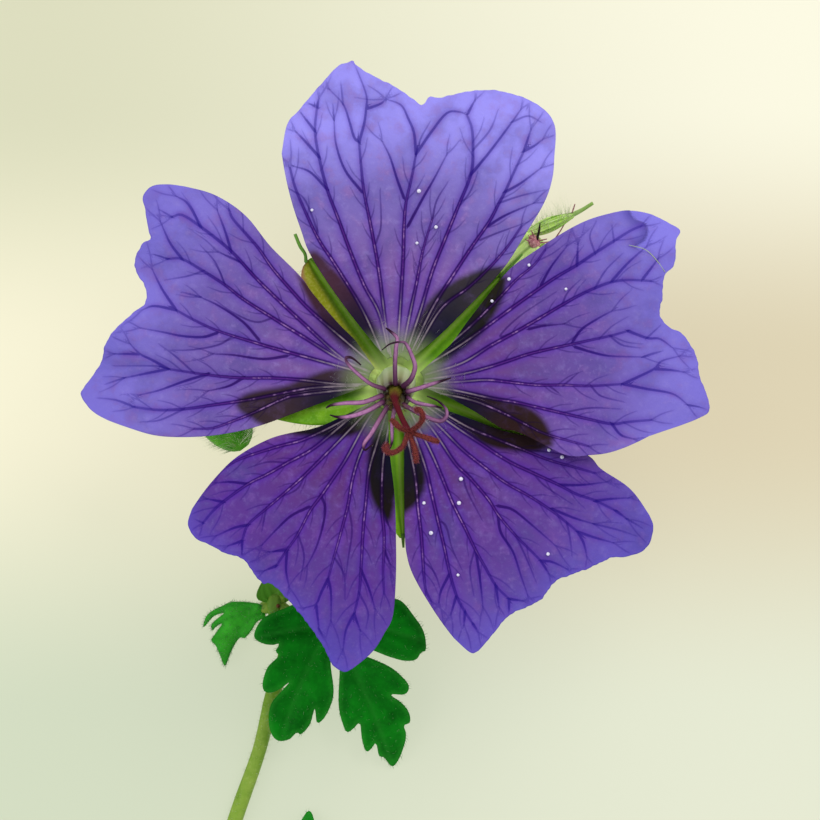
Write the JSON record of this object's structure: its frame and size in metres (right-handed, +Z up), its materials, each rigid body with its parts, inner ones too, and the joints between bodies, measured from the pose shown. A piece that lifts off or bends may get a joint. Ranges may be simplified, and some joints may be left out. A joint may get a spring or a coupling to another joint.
{
  "type": "hardy geranium",
  "caption": "Picked sprig of a hardy geranium lying down: an open violet bloom facing up over its calyx, with a bud, a spent flower and lobed leaves on a thin stem.",
  "frame": {"origin": "middle of the bounding box, on the surface that the sprig lies on", "axes": "+Y runs from the cut stem to the bloom, +X is to the bloom's right as seen from above, +Z is up and the bloom faces it"},
  "size_m": [0.045, 0.0754, 0.0209],
  "materials": {
    "stem": "yellow-green fresh stem",
    "leaf": "saturated green leaf",
    "bud": "hairy green bud",
    "sepals": "hairy bright green sepals",
    "spent_pistil": "dried red",
    "petals": "violet-blue petals with dark veins",
    "stamens": "pink-purple filaments",
    "pistil": "brick-red style and stigma"
  },
  "bodies": {
    "root": {"stem": "stem", "leaf_right": "leaf", "leaf_left": "leaf", "leaf_lower": "leaf", "bud": "bud", "spent_calyx": "sepals", "spent_pistil": "spent_pistil", "calyx": "sepals", "petal_top": "petals", "petal_left": "petals", "petal_lower_left": "petals", "petal_lower_right": "petals", "petal_right": "petals", "stamens": "stamens", "pistil": "pistil"}
  },
  "joints": []
}
